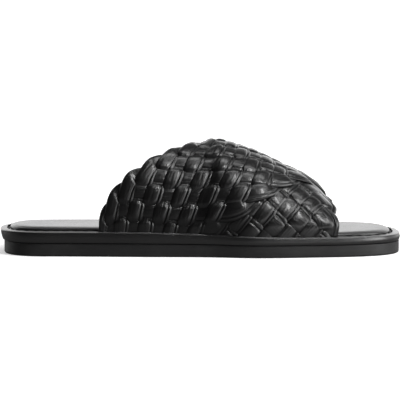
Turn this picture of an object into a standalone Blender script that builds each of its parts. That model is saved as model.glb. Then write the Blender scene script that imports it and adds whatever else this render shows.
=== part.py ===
"""Right-foot slide sandal with two crossed braided straps on a flat sole.

The frame is +X to the toe, +Y to the medial side, +Z up. The origin is on the floor, in the middle of the sole.
The pieces are a rubber outsole, a wrapped midsole whose edge is the rim, a padded insole inside the rim, and
the braided upper, whose two straps are one wall that is joined where they cross.
"""

import math

import bmesh
import bpy
import numpy as np

# Overall sizes of the shoe, in metres.
SHOE_LENGTH = 0.258
BALL_WIDTH = 0.092
HEEL_HEIGHT = 0.0156
FORE_HEIGHT = 0.0126

# Sole.
MIDSOLE_HEEL_THICKNESS = 0.0070
MIDSOLE_FORE_THICKNESS = 0.0047
RIM_WIDTH = 0.0062
TOP_EDGE_RADIUS = 0.0006
LOWER_EDGE_RADIUS = 0.0010
HEEL_LEAN = 0.0013
OUTSOLE_INSET = 0.0012
OUTSOLE_EDGE_RADIUS = 0.0010
INSOLE_PADDING = 0.0014
INSOLE_CROWN = 0.0009
INSOLE_RECESS = 0.0010
SEAT_GAP = 0.0003

# Upper. The last is the inside of the upper.
INSTEP_HEIGHT = 0.0499
RIDGE_TO_MEDIAL = 0.0040
STRAP_THICKNESS = 0.0038
UNDER_STRAP_THICKNESS = 0.0020
STRIP_RELIEF = 0.0018
MEDIAL_SETBACK = 0.0090
MEDIAL_SETBACK_END = 0.62
# Half the last's girth in instep heights, about.
GIRTH_FACTOR = 1.4
SLOT_DEPTH = 0.0030
SLOT_CLEARANCE = 0.0004
SLOT_END_CLEARANCE = 0.0012
# The strap that lies on top rises over this much of the way before it meets the lower one.
CROSSING_RISE = 0.0080
CROSSING_START = 0.0060

# Where the height falls from the heel's to the forefoot's, in shares of the length from the heel.
FALL_START = 0.30
FALL_END = 0.78

# The rounded ends of the outline, as a share of the length and the exponent of the curve.
HEEL_END = (0.13, 2.5)
LATERAL_TOE_END = (0.22, 2.6)
MEDIAL_TOE_END = (0.17, 2.8)

# Half widths of the outline before its ends are rounded: share of the length from the heel, then the
# lateral and the medial half width in shares of the ball width.
OUTLINE_ROWS = (
    (0.00, 0.366, 0.345),
    (0.15, 0.370, 0.350),
    (0.37, 0.415, 0.352),
    (0.51, 0.437, 0.380),
    (0.64, 0.502, 0.462),
    (0.72, 0.490, 0.492),
    (0.80, 0.462, 0.486),
    (0.90, 0.446, 0.462),
    (1.00, 0.440, 0.440),
)

# The last's ridge above the rim: share of the length from the heel, height in shares of the instep height,
# and the section's exponent, where 2 is an ellipse and more is fuller.
RIDGE_ROWS = (
    (0.20, 1.32, 2.40),
    (0.30, 1.22, 2.35),
    (0.40, 1.12, 2.30),
    (0.48, 1.07, 2.25),
    (0.55, 1.04, 2.20),
    (0.60, 0.975, 2.15),
    (0.65, 0.880, 2.15),
    (0.70, 0.755, 2.15),
    (0.75, 0.640, 2.20),
    (0.78, 0.535, 2.30),
    (0.81, 0.385, 2.55),
    (0.84, 0.315, 2.90),
    (0.87, 0.290, 3.10),
)

# Rungs across one strap, from its end at the rear to its end at the front: where the rung meets the strap's
# back edge and its front edge. x is a share of the length from the heel. Round is the place around the last:
# -1 at the sole on the side of the strap's rear end, 0 on the ridge, 1 at the sole on the other side. Along is
# the distance from the first rung in crossings of the strips. A round past 1 or -1 is below the rim, cut off.
STRAP_RUNGS = (
    # along, back x, back round, front x, front round
    (0.0, 0.240, -1.21, 0.330, -1.92),
    (1.5, 0.252, -0.85, 0.386, -1.62),
    (3.0, 0.302, -0.58, 0.436, -1.47),
    (4.5, 0.378, -0.37, 0.482, -1.25),
    (6.0, 0.456, -0.165, 0.556, -0.98),
    (7.5, 0.524, 0.03, 0.648, -0.71),
    (9.0, 0.545, 0.32, 0.728, -0.43),
    (10.5, 0.536, 0.58, 0.788, -0.12),
    (12.0, 0.518, 0.82, 0.830, 0.22),
    (13.5, 0.498, 1.10, 0.837, 0.70),
    (15.0, 0.480, 1.36, 0.838, 1.22),
)
CROSSINGS_ACROSS = 5.5
# Where the first row of crossings lies along the strap.
FIRST_CROSSING = 0.5
STEPS_PER_CROSSING = 4
EDGE_SHARE = 0.5
# The strips flatten out between these two places around the last, above the rim.
PLAIN_START = 0.86
PLAIN_FULL = 0.98
# How close to 1 or -1 a place around the last counts as at the rim.
AT_RIM = 0.04
STRAP_END = STRAP_RUNGS[-1][0]

OUTLINE_STEPS = 44
SECTION_STEPS = 60
LAST_SHARES = np.linspace(0.15, 0.90, 151)
LAST_ROUNDS = np.linspace(-2.6, 2.6, 521)


def smooth_column(rows, column, at):
    """The table's column at the places asked for, on a smooth curve through its rows."""
    xs = np.array([row[0] for row in rows], float)
    ys = np.array([row[column] for row in rows], float)
    slopes = np.gradient(ys, xs)
    at = np.clip(at, xs[0], xs[-1])
    i = np.clip(np.searchsorted(xs, at, side="right") - 1, 0, len(xs) - 2)
    step = xs[i + 1] - xs[i]
    t = (at - xs[i]) / step
    h00 = 2 * t**3 - 3 * t**2 + 1
    h10 = t**3 - 2 * t**2 + t
    h01 = 3 * t**2 - 2 * t**3
    h11 = t**3 - t**2
    return h00 * ys[i] + h10 * step * slopes[i] + h01 * ys[i + 1] + h11 * step * slopes[i + 1]


def ease(t):
    """0 before 0, 1 after 1, and smooth between."""
    t = np.clip(t, 0.0, 1.0)
    return t * t * (3 - 2 * t)


def end_rounding(share, column):
    """What the rounded heel and toe leave of the half width, from 0 at the tips to 1."""
    heel, heel_power = HEEL_END
    toe, toe_power = LATERAL_TOE_END if column == 1 else MEDIAL_TOE_END
    from_heel = np.clip(1 - share / heel, 0, 1)
    from_toe = np.clip(1 - (1 - share) / toe, 0, 1)
    at_heel = (1 - from_heel**heel_power) ** (1 / heel_power)
    at_toe = (1 - from_toe**toe_power) ** (1 / toe_power)
    return at_heel * at_toe


def half_width(share, column):
    """Half width of the rim: column 1 is lateral and column 2 is medial."""
    return BALL_WIDTH * smooth_column(OUTLINE_ROWS, column, share) * end_rounding(share, column)


def middle_shift():
    """How far the outline moves towards +Y so that its box is centred on the origin."""
    shares = np.linspace(0, 1, 401)
    return (half_width(shares, 1).max() - half_width(shares, 2).max()) / 2


MIDDLE = middle_shift()


def x_at(share):
    return (share - 0.5) * SHOE_LENGTH


def share_at(x):
    return x / SHOE_LENGTH + 0.5


def falling(x, at_heel, at_fore):
    """A value that changes from the heel to the forefoot where the sole's top falls."""
    return at_heel + (at_fore - at_heel) * ease((share_at(x) - FALL_START) / (FALL_END - FALL_START))


def rim_height(x):
    """Height of the rim's flat top above the floor."""
    return falling(x, HEEL_HEIGHT, FORE_HEIGHT)


def midsole_thickness(x):
    return falling(x, MIDSOLE_HEEL_THICKNESS, MIDSOLE_FORE_THICKNESS)


def outline(inset):
    """The sole's outline, moved in by inset: heel tip, lateral side, toe tip, then the medial side back."""
    turn = np.linspace(0, math.pi, OUTLINE_STEPS + 1)
    share = (1 - np.cos(turn)) / 2
    lateral = np.column_stack([x_at(share), MIDDLE - half_width(share, 1)])
    medial = np.column_stack([x_at(share), MIDDLE + half_width(share, 2)])
    ring = np.vstack([lateral, medial[-2:0:-1]])
    along = np.roll(ring, -1, axis=0) - np.roll(ring, 1, axis=0)
    along /= np.linalg.norm(along, axis=1)[:, None]
    inwards = np.column_stack([-along[:, 1], along[:, 0]])
    return ring + inset * inwards


def edge_across(x, side, inset):
    """How far across the shoe the inset outline lies at x. side is -1 for lateral and 1 for medial."""
    ring = outline(inset)
    run = ring[:OUTLINE_STEPS + 1] if side < 0 else np.vstack([ring[:1], ring[:OUTLINE_STEPS - 1:-1]])
    return np.interp(x, run[:, 0], run[:, 1])


def ring_at(inset, height):
    """A closed ring of points: height is a function of x, or a number."""
    flat = outline(inset)
    z = height(flat[:, 0]) if callable(height) else np.full(len(flat), height)
    return np.column_stack([flat, z])


def new_object(name, points, faces, collection):
    mesh = bpy.data.meshes.new(name)
    mesh.from_pydata([tuple(p) for p in points], [], faces)
    bm = bmesh.new()
    bm.from_mesh(mesh)
    bmesh.ops.recalc_face_normals(bm, faces=bm.faces)
    bm.to_mesh(mesh)
    bm.free()
    made = bpy.data.objects.new(name, mesh)
    collection.objects.link(made)
    return made


def loft(name, rings, collection):
    """A closed solid through rings from the bottom to the top. Each end is closed by strips across the shoe."""
    count = len(rings[0])
    half = count // 2
    faces = []
    for level in range(len(rings) - 1):
        for k in range(count):
            a, b = level * count + k, level * count + (k + 1) % count
            faces.append((a, b, b + count, a + count))
    for level in (0, len(rings) - 1):
        for k in range(half):
            strip = [k, k + 1, count - k - 1, (count - k) % count]
            faces.append([level * count + i for i in dict.fromkeys(strip)])
    return new_object(name, np.vstack(rings), faces, collection)


def heel_lean(ring, depth):
    """Moves the back of a ring forwards, for a heel edge that slopes in towards the floor."""
    back = ease(1 - share_at(ring[:, 0]) / HEEL_END[0])
    ring[:, 0] += HEEL_LEAN * depth * back
    return ring


def build_outsole(collection):
    """The rubber outsole, flat on the floor."""

    def top(x):
        return rim_height(x) - midsole_thickness(x) - SEAT_GAP

    rings = [
        ring_at(OUTSOLE_INSET + OUTSOLE_EDGE_RADIUS, 0.0),
        ring_at(OUTSOLE_INSET + 0.3 * OUTSOLE_EDGE_RADIUS, 0.3 * OUTSOLE_EDGE_RADIUS),
        ring_at(OUTSOLE_INSET, OUTSOLE_EDGE_RADIUS),
        ring_at(OUTSOLE_INSET, top),
    ]
    return loft("outsole", [heel_lean(ring, 1.0) for ring in rings], collection)


def build_midsole(collection):
    """The wrapped midsole. Its rounded edge is the rim that shows around the insole."""

    def level(share, depth):
        return lambda x: rim_height(x) - share * midsole_thickness(x) - depth

    low, high = LOWER_EDGE_RADIUS, TOP_EDGE_RADIUS
    # Inset, depth below the rim as a share of the thickness and a length, and lean.
    profile = (
        (low, 1, 0.0, 1.0),
        (0.3 * low, 1, -0.3 * low, 1.0),
        (0.0, 1, -low, 0.8),
        (0.0, 0, high, 0.2),
        (0.3 * high, 0, 0.3 * high, 0.0),
        (high, 0, 0.0, 0.0),
        (RIM_WIDTH - SEAT_GAP, 0, 0.0, 0.0),
        (RIM_WIDTH - SEAT_GAP, 0, INSOLE_RECESS, 0.0),
    )
    rings = [heel_lean(ring_at(inset, level(share, depth)), lean) for inset, share, depth, lean in profile]
    return loft("midsole", rings, collection)


def build_insole(collection):
    """The padded insole, which lies in the midsole's shallow recess and rises above the rim."""
    bottom = -INSOLE_RECESS + SEAT_GAP
    pad = INSOLE_PADDING
    profile = (
        (0.0, bottom),
        (0.0, 0.30 * pad),
        (0.10 * pad, 0.56 * pad),
        (0.35 * pad, 0.80 * pad),
        (0.90 * pad, pad),
        (2.80 * pad, pad + 0.6 * INSOLE_CROWN),
        (6.50 * pad, pad + INSOLE_CROWN),
    )
    rings = [
        ring_at(RIM_WIDTH + inset, lambda x, rise=rise: rim_height(x) + rise)
        for inset, rise in profile
    ]
    return loft("insole", rings, collection)


def section_curve(share, side):
    """One half of the last's cross-section from the ridge to the rim, with its length from the ridge.

    side is -1 for lateral and 1 for medial. The result is (y, z, length) at each of the section's steps.
    """
    x = x_at(share)
    edge = edge_across(x, side, RIM_WIDTH - 2 * SEAT_GAP)
    height = INSTEP_HEIGHT * smooth_column(RIDGE_ROWS, 1, share)
    power = smooth_column(RIDGE_ROWS, 2, share)
    ridge = MIDDLE + RIDGE_TO_MEDIAL * ease((0.85 - share) / 0.35)
    turn = np.linspace(0, math.pi / 2, SECTION_STEPS + 1)
    y = ridge + (edge - ridge) * np.sin(turn) ** (2 / power)
    z = rim_height(x) + height * np.cos(turn) ** (2 / power)
    length = np.concatenate([[0], np.cumsum(np.hypot(np.diff(y), np.diff(z)))])
    return y, z, length


def last_grid():
    """The last as a grid over length and girth: its points and the directions straight out of them."""
    rows = []
    for share in LAST_SHARES:
        halves = []
        for side in (-1, 1):
            y, z, length = section_curve(share, side)
            reach = LAST_ROUNDS[LAST_ROUNDS >= 0] * length[-1]
            below = np.maximum(0, reach - length[-1])
            halves.append(np.column_stack([np.interp(reach, length, y), np.interp(reach, length, z) - below]))
        rows.append(np.vstack([halves[0][:0:-1], halves[1]]))
    points = np.empty((len(LAST_SHARES), len(LAST_ROUNDS), 3))
    points[:, :, 0] = x_at(LAST_SHARES)[:, None]
    points[:, :, 1:] = rows
    out = np.cross(np.gradient(points, axis=0), np.gradient(points, axis=1))
    return points, out / np.linalg.norm(out, axis=2)[:, :, None]


LAST_POINTS, LAST_OUT = last_grid()


def on_last(share, around):
    """Points of the last and the directions out of it. around is -1 and 1 at the rim and 0 on the ridge."""
    places = []
    for at, lines in ((share, LAST_SHARES), (around, LAST_ROUNDS)):
        place = (np.asarray(at) - lines[0]) / (lines[1] - lines[0])
        cell = np.clip(place.astype(int), 0, len(lines) - 2)
        places.append((cell, np.clip(place - cell, 0, 1)[..., None]))
    (i, s), (j, t) = places
    found = []
    for grid in (LAST_POINTS, LAST_OUT):
        low = grid[i, j] * (1 - t) + grid[i, j + 1] * t
        high = grid[i + 1, j] * (1 - t) + grid[i + 1, j + 1] * t
        found.append(low * (1 - s) + high * s)
    return found


def strap_place(along, across, mirrored):
    """Where places on a strap lie on the last: (share of the length, around).

    along runs from the rear end to the front end in crossings, and across from 0 at the back edge to 1 at the
    front edge. The upper strap starts at the lateral rear. The mirrored, lower one starts at the medial rear.
    """
    back_x, back_round, front_x, front_round = (
        smooth_column(STRAP_RUNGS, column, along) for column in (1, 2, 3, 4)
    )
    share = back_x + (front_x - back_x) * across
    around = back_round + (front_round - back_round) * across
    if mirrored:
        around = -around
    rear = np.clip(1 - share / MEDIAL_SETBACK_END, 0, 1) / MEDIAL_SETBACK_END
    setback = MEDIAL_SETBACK / SHOE_LENGTH * ease(around + 0.1) * rear
    return share + setback, around


def strap_border(mirrored):
    """The strap's outline on the last, flattened, for measuring depths inside it."""
    steps = np.linspace(0, STRAP_END, 48)
    back = np.column_stack(flattened(*strap_place(steps, 0.0, mirrored)))
    front = np.column_stack(flattened(*strap_place(steps[::-1], 1.0, mirrored)))
    return np.vstack([back, front])


def flattened(share, around):
    """Places on the last in metres of length and of mean half girth."""
    return share * SHOE_LENGTH, around * INSTEP_HEIGHT * GIRTH_FACTOR


def depth_inside(share, around, border):
    """How far places on the last lie inside a flattened border, in metres. It is negative outside."""
    places = np.stack(flattened(share, around), axis=-1)[..., None, :]
    along = np.roll(border, -1, axis=0) - border
    offset = places - border
    t = np.clip((offset * along).sum(-1) / np.maximum((along**2).sum(-1), 1e-12), 0, 1)
    distance = np.linalg.norm(offset - t[..., None] * along, axis=-1).min(-1)
    crosses = (border[:, 1] > places[..., 1]) != ((border + along)[:, 1] > places[..., 1])
    rise = np.where(crosses, along[:, 1], 1.0)
    at_x = border[:, 0] + (places[..., 1] - border[:, 1]) / rise * along[:, 0]
    inside = (crosses & (at_x > places[..., 0])).sum(-1) % 2 == 1
    return np.where(inside, distance, -distance)


def strip_height(along, across):
    """The braid's surface from 0 in the grooves to 1 on the strips, at places given in crossings."""
    p, q = along + across - FIRST_CROSSING, along - across - FIRST_CROSSING
    i, j = np.round(p), np.round(q)
    over_p = (i - j) % 2 == 1
    beside = np.where(over_p, p - i, q - j)
    lengthwise = np.where(over_p, q - j, p - i)
    bulge = np.sqrt(np.maximum(0, np.cos(math.pi * lengthwise)))
    return bulge * (1 - 1.2 * beside**2) * (np.abs(beside) < 0.49)


def strap_solid(name, mirrored, collection):
    """One strap as a closed wall with its strips raised on the outside."""
    long_steps = round(STRAP_END * STEPS_PER_CROSSING / 2) * 2
    wide_steps = round(CROSSINGS_ACROSS * STEPS_PER_CROSSING / 2) * 2
    along = np.arange(long_steps + 1)[:, None] / STEPS_PER_CROSSING
    wide = np.arange(wide_steps + 1)[None, :]
    share, around = strap_place(along, wide / wide_steps, mirrored)
    points, out = on_last(share, around)
    depth = depth_inside(share, around, strap_border(not mirrored))
    above_rim = 1 - ease((np.abs(around) - PLAIN_START) / (PLAIN_FULL - PLAIN_START))
    relief = STRIP_RELIEF * (strip_height(along, wide / STEPS_PER_CROSSING) - 0.5) * above_rim
    whole = STRAP_THICKNESS + relief
    if mirrored:
        hidden = ease((depth - CROSSING_RISE + CROSSING_START) / CROSSING_START)
        base = np.zeros_like(depth)
        top = whole + (UNDER_STRAP_THICKNESS - whole) * hidden
    else:
        lifted = ease((depth + CROSSING_START) / CROSSING_RISE) * above_rim
        base = 0.5 * UNDER_STRAP_THICKNESS * lifted
        top = whole + UNDER_STRAP_THICKNESS * lifted
    top[:, [0, -1]] = base[:, [0, -1]] + EDGE_SHARE * (top - base)[:, [0, -1]]
    outer = points + out * top[..., None]
    inner = points + out * base[..., None]
    return shell(name, outer, inner, collection)


def shell(name, outer, inner, collection):
    """A closed wall between two grids of points. The inner grid keeps every second row and column."""
    long_count, wide_count = outer.shape[:2]
    inner = inner[::2, ::2]
    under = long_count * wide_count
    under_wide = inner.shape[1]
    faces = []
    for i in range(long_count - 1):
        for j in range(wide_count - 1):
            a, b = i * wide_count + j, i * wide_count + j + 1
            d, c = a + wide_count, b + wide_count
            # The cell is split along the groove that crosses it.
            if (i + j + 1) % STEPS_PER_CROSSING == 0:
                faces += [(a, b, d), (b, c, d)]
            else:
                faces += [(a, b, c), (a, c, d)]
    for i in range(inner.shape[0] - 1):
        for j in range(under_wide - 1):
            a = under + i * under_wide + j
            faces.append((a, a + under_wide, a + under_wide + 1, a + 1))
    border = [(0, j) for j in range(0, wide_count, 2)]
    border += [(i, wide_count - 1) for i in range(2, long_count, 2)]
    border += [(long_count - 1, j) for j in range(wide_count - 3, -1, -2)]
    border += [(i, 0) for i in range(long_count - 3, 0, -2)]
    for (i, j), (k, m) in zip(border, border[1:] + border[:1], strict=True):
        middle = (i + k) // 2 * wide_count + (j + m) // 2
        first, final = i * wide_count + j, k * wide_count + m
        below_first = under + i // 2 * under_wide + j // 2
        below_final = under + k // 2 * under_wide + m // 2
        faces.append((first, middle, final, below_final, below_first))
    return new_object(name, np.vstack([outer.reshape(-1, 3), inner.reshape(-1, 3)]), faces, collection)


def sole_cutter(collection):
    """Everything under the bottom of the straps' slots, which trims the ends of the straps."""
    stations = x_at(np.linspace(-0.05, 1.05, 23))
    wide, deep = BALL_WIDTH, -SHOE_LENGTH
    points, faces = [], []
    for x in stations:
        floor = rim_height(x) - SLOT_DEPTH + SEAT_GAP
        points += [(x, -wide, deep), (x, wide, deep), (x, wide, floor), (x, -wide, floor)]
    for k in range(len(stations) - 1):
        a = 4 * k
        faces += [(a + m, a + (m + 1) % 4, a + 4 + (m + 1) % 4, a + 4 + m) for m in range(4)]
    last = 4 * (len(stations) - 1)
    faces += [(0, 1, 2, 3), (last, last + 1, last + 2, last + 3)]
    return as_cutter(new_object("sole_cutter", points, faces, collection))


def slot_ends(side):
    """Shares of the length between which the straps enter the sole on one side."""
    at_rim = []
    for mirrored in (False, True):
        for across in (0.0, 1.0):
            share, around = strap_place(np.linspace(0, STRAP_END, 400), across, mirrored)
            at_rim += list(share[np.abs(around - side) < AT_RIM])
    clear = SLOT_END_CLEARANCE / SHOE_LENGTH
    return min(at_rim) - clear, max(at_rim) + clear


def slot_cutter(side, collection):
    """The slot in the midsole that takes the straps' ends on one side: -1 is lateral, 1 is medial."""
    first, final = slot_ends(side)
    points, faces = [], []
    shares = np.linspace(first, final, 25)
    for share in shares:
        point, out = on_last(share, side)
        inner = point - out * SLOT_CLEARANCE
        outer = point + out * (STRAP_THICKNESS + SLOT_CLEARANCE)
        low = rim_height(x_at(share)) - SLOT_DEPTH
        high = low + 2 * SLOT_DEPTH
        points += [(inner[0], inner[1], low), (outer[0], outer[1], low)]
        points += [(outer[0], outer[1], high), (inner[0], inner[1], high)]
    for k in range(len(shares) - 1):
        a = 4 * k
        faces += [(a + m, a + (m + 1) % 4, a + 4 + (m + 1) % 4, a + 4 + m) for m in range(4)]
    last = 4 * (len(shares) - 1)
    faces += [(0, 1, 2, 3), (last, last + 1, last + 2, last + 3)]
    return as_cutter(new_object(f"slot_cutter_{side}", points, faces, collection))


def as_cutter(made):
    made.hide_render = True
    made.display_type = "WIRE"
    return made


def boolean(made, other, operation):
    modifier = made.modifiers.new(f"{operation.lower()}_{other.name}", "BOOLEAN")
    modifier.operation = operation
    modifier.solver = "EXACT"
    modifier.object = other


def build_upper(collection, helpers):
    """Both straps as one wall, cut off at the bottom of their slots."""
    upper = strap_solid("upper", False, collection)
    under_strap = as_cutter(strap_solid("under_strap", True, helpers))
    boolean(upper, under_strap, "UNION")
    boolean(upper, sole_cutter(helpers), "DIFFERENCE")
    return upper


def material(name, colour, roughness):
    made = bpy.data.materials.new(name)
    made.use_nodes = True
    shader = made.node_tree.nodes["Principled BSDF"]
    shader.inputs["Base Color"].default_value = (*colour, 1.0)
    shader.inputs["Roughness"].default_value = roughness
    shader.inputs["Metallic"].default_value = 0.0
    return made


def main():
    for old in list(bpy.data.objects):
        bpy.data.objects.remove(old)
    parts = bpy.data.collections.new("slide_sandal")
    helpers = bpy.data.collections.new("cutters")
    for collection in (parts, helpers):
        bpy.context.scene.collection.children.link(collection)
    outsole = build_outsole(parts)
    midsole = build_midsole(parts)
    insole = build_insole(parts)
    upper = build_upper(parts, helpers)
    for side in (-1, 1):
        boolean(midsole, slot_cutter(side, helpers), "DIFFERENCE")
    outsole.data.materials.append(material("outsole_rubber", (0.022, 0.022, 0.023), 0.55))
    midsole.data.materials.append(material("rim_leather", (0.018, 0.018, 0.019), 0.38))
    insole.data.materials.append(material("insole_leather", (0.020, 0.020, 0.021), 0.34))
    upper.data.materials.append(material("braid_leather", (0.016, 0.016, 0.017), 0.36))


main()
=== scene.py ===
import math

import bmesh
import bpy
import numpy as np
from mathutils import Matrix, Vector


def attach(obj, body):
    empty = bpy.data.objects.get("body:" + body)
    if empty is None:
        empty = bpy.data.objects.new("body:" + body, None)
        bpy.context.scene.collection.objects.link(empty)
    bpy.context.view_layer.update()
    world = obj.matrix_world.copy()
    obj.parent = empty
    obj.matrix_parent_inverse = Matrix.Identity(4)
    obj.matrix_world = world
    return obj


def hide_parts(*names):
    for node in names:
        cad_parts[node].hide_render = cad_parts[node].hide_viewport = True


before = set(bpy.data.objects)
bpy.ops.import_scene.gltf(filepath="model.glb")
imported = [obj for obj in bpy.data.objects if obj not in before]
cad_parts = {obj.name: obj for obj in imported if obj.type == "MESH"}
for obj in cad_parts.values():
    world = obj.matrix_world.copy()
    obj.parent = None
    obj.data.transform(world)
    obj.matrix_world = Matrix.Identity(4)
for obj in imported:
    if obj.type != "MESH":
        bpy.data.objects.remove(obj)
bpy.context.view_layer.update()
print("frame loaded:", ", ".join(sorted(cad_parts)))

# the last and the sole's outline, with the same sizes as the solids: metres, and shares of the length from
# the heel
shoe = {
    "length": 0.258,
    "ballWidth": 0.092,
    "heelHeight": 0.0156,
    "foreHeight": 0.0126,
    "fallStart": 0.30,
    "fallEnd": 0.78,
    "heelMidsole": 0.0070,
    "foreMidsole": 0.0047,
    "heelLean": 0.0013,
    "rimWidth": 0.0062,
    "seatGap": 0.0003,
    "heelEnd": (0.13, 2.5),
    "lateralToe": (0.22, 2.6),
    "medialToe": (0.17, 2.8),
    "steps": 150,
    # share, lateral half width, medial half width, both in ball widths
    "outline": (
        (0.00, 0.366, 0.345),
        (0.15, 0.370, 0.350),
        (0.37, 0.415, 0.352),
        (0.51, 0.437, 0.380),
        (0.64, 0.502, 0.462),
        (0.72, 0.490, 0.492),
        (0.80, 0.462, 0.486),
        (0.90, 0.446, 0.462),
        (1.00, 0.440, 0.440),
    ),
}


def smoothColumn(rows, column, at):
    # a smooth curve through one column of a table whose first column is the place
    xs = np.array([row[0] for row in rows], float)
    ys = np.array([row[column] for row in rows], float)
    slopes = np.gradient(ys, xs)
    at = np.clip(at, xs[0], xs[-1])
    i = np.clip(np.searchsorted(xs, at, side="right") - 1, 0, len(xs) - 2)
    step = xs[i + 1] - xs[i]
    t = (at - xs[i]) / step
    rise = (2 * t**3 - 3 * t**2 + 1) * ys[i] + (3 * t**2 - 2 * t**3) * ys[i + 1]
    return rise + step * ((t**3 - 2 * t**2 + t) * slopes[i] + (t**3 - t**2) * slopes[i + 1])


def ease(t):
    t = np.clip(t, 0.0, 1.0)
    return t * t * (3 - 2 * t)


def halfWidth(share, column):
    # column 1 is the lateral side, 2 the medial side
    heel, heelPower = shoe["heelEnd"]
    toe, toePower = shoe["lateralToe"] if column == 1 else shoe["medialToe"]
    fromHeel = np.clip(1 - share / heel, 0, 1)
    fromToe = np.clip(1 - (1 - share) / toe, 0, 1)
    ends = (1 - fromHeel**heelPower) ** (1 / heelPower) * (1 - fromToe**toePower) ** (1 / toePower)
    return shoe["ballWidth"] * smoothColumn(shoe["outline"], column, share) * ends


allShares = np.linspace(0, 1, 401)
middle = (halfWidth(allShares, 1).max() - halfWidth(allShares, 2).max()) / 2


def xAt(share):
    return (share - 0.5) * shoe["length"]


def shareAt(x):
    return x / shoe["length"] + 0.5


def falling(x, atHeel, atFore):
    fallen = (shareAt(x) - shoe["fallStart"]) / (shoe["fallEnd"] - shoe["fallStart"])
    return atHeel + (atFore - atHeel) * ease(fallen)


def rimHeight(x):
    return falling(x, shoe["heelHeight"], shoe["foreHeight"])


def outlineRing():
    # the sole's outline and its directions inwards: by the lateral side to the toe, back by the medial side
    turn = np.linspace(0, math.pi, shoe["steps"] + 1)
    share = (1 - np.cos(turn)) / 2
    lateral = np.column_stack([xAt(share), middle - halfWidth(share, 1)])
    medial = np.column_stack([xAt(share), middle + halfWidth(share, 2)])
    ring = np.vstack([lateral, medial[-2:0:-1]])
    along = np.roll(ring, -1, axis=0) - np.roll(ring, 1, axis=0)
    along /= np.linalg.norm(along, axis=1)[:, None]
    return ring, np.column_stack([-along[:, 1], along[:, 0]])


outlinePoints, outlineInwards = outlineRing()
midsoleThickness = falling(outlinePoints[:, 0], shoe["heelMidsole"], shoe["foreMidsole"])
sideOf = np.where(np.arange(len(outlinePoints)) <= shoe["steps"], -1, 1)


def ringAt(inset, rise, lean=0.0):
    # a ring inset from the outline and rise above the rim's flat top; inset and rise may vary along the ring
    flat = outlinePoints + outlineInwards * np.reshape(inset, (-1, 1))
    z = rimHeight(flat[:, 0]) + rise
    back = ease(1 - shareAt(flat[:, 0]) / shoe["heelEnd"][0])
    return np.column_stack([flat[:, 0] + shoe["heelLean"] * lean * back, flat[:, 1], z])


def sceneObject(name, data):
    made = bpy.data.objects.new(name, data)
    bpy.context.scene.collection.objects.link(made)
    return made


def changeMesh(mesh, change):
    bm = bmesh.new()
    bm.from_mesh(mesh)
    change(bm)
    bm.to_mesh(mesh)
    bm.free()


def facesOutwards(mesh):
    changeMesh(mesh, lambda bm: bmesh.ops.recalc_face_normals(bm, faces=bm.faces))


def meshObject(name, points, faces, finish, smoothAngle=math.radians(40)):
    mesh = bpy.data.meshes.new(name)
    mesh.from_pydata([tuple(p) for p in points], [], faces)
    mesh.update()
    mesh.shade_smooth()
    mesh.materials.append(materials[finish])
    facesOutwards(mesh)
    mesh.set_sharp_from_angle(angle=smoothAngle)
    return sceneObject(name, mesh)


def loftFaces(ringCount, pointCount, capLast=True):
    faces = []
    for level in range(ringCount - 1):
        for k in range(pointCount):
            a, b = level * pointCount + k, level * pointCount + (k + 1) % pointCount
            faces.append((a, b, b + pointCount, a + pointCount))
    for level in (0, ringCount - 1) if capLast else (0,):
        for k in range(pointCount // 2):
            corners = dict.fromkeys([k, k + 1, pointCount - k - 1, (pointCount - k) % pointCount])
            faces.append([level * pointCount + i for i in corners])
    return faces


# node helpers

def newGroup(name, treeType, inputs, outputs):
    # a node tree with the sockets that it is given and the sockets that it fills
    tree = bpy.data.node_groups.new(name, treeType)
    for socketName, kind, value in inputs:
        socket = tree.interface.new_socket(name=socketName, in_out="INPUT", socket_type="NodeSocket" + kind)
        if value is not None:
            socket.default_value = value
    for socketName, kind in outputs:
        tree.interface.new_socket(name=socketName, in_out="OUTPUT", socket_type="NodeSocket" + kind)
    return tree, tree.nodes.new("NodeGroupInput").outputs, tree.nodes.new("NodeGroupOutput").inputs


def feed(tree, node, sockets):
    # gives each socket its value or the link that feeds it
    for key, value in sockets.items():
        if isinstance(value, bpy.types.NodeSocket):
            tree.links.new(value, node.inputs[key])
        else:
            node.inputs[key].default_value = value


def addNode(tree, kind, sockets=None, output=0, **settings):
    # adds a node and returns its output, which leads to the node and its other outputs
    node = tree.nodes.new(kind)
    for key, value in settings.items():
        setattr(node, key, value)
    feed(tree, node, sockets or {})
    return node.outputs[output]


def mathNode(tree, operation, *values):
    return addNode(tree, "ShaderNodeMath", dict(enumerate(values)), operation=operation)


def vectorMath(tree, operation, sockets):
    return addNode(tree, "ShaderNodeVectorMath", sockets, operation=operation)


def mapRange(tree, value, fromMin, fromMax, toMin=0.0, toMax=1.0):
    return addNode(tree, "ShaderNodeMapRange", {
        "Value": value, "From Min": fromMin, "From Max": fromMax, "To Min": toMin, "To Max": toMax})


def splitVector(tree, vector):
    return addNode(tree, "ShaderNodeSeparateXYZ", {"Vector": vector}).node.outputs


def joinVector(tree, x, y, z=0.0):
    return addNode(tree, "ShaderNodeCombineXYZ", {"X": x, "Y": y, "Z": z})


# shader groups

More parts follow.
